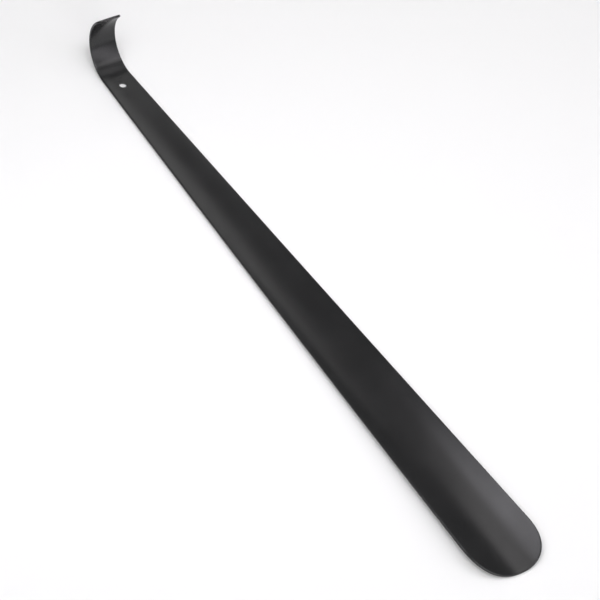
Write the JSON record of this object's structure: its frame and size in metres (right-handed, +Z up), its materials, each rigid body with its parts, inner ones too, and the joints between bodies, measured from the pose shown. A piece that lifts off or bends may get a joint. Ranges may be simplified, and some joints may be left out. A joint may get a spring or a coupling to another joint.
{
  "type": "long-handled shoehorn",
  "caption": "Long one-piece shoehorn: a rolled steel strip that tapers from a rounded blade to a slim shank, hooked over at the end, with a hanging hole.",
  "frame": {"origin": "the middle of the surface that it lies on, under the centre of its overall box", "axes": "+X along the strip towards the blade's tip, with the hook at the -X end; Y across the strip; +Z up, the way the trough opens and the hook curls"},
  "size_m": [0.4201, 0.042, 0.035],
  "materials": {
    "steel": "satin",
    "powder_coat": "satin black powder coat"
  },
  "bodies": {
    "root": {"steel_body": "steel", "black_coating": "powder_coat"}
  },
  "joints": []
}
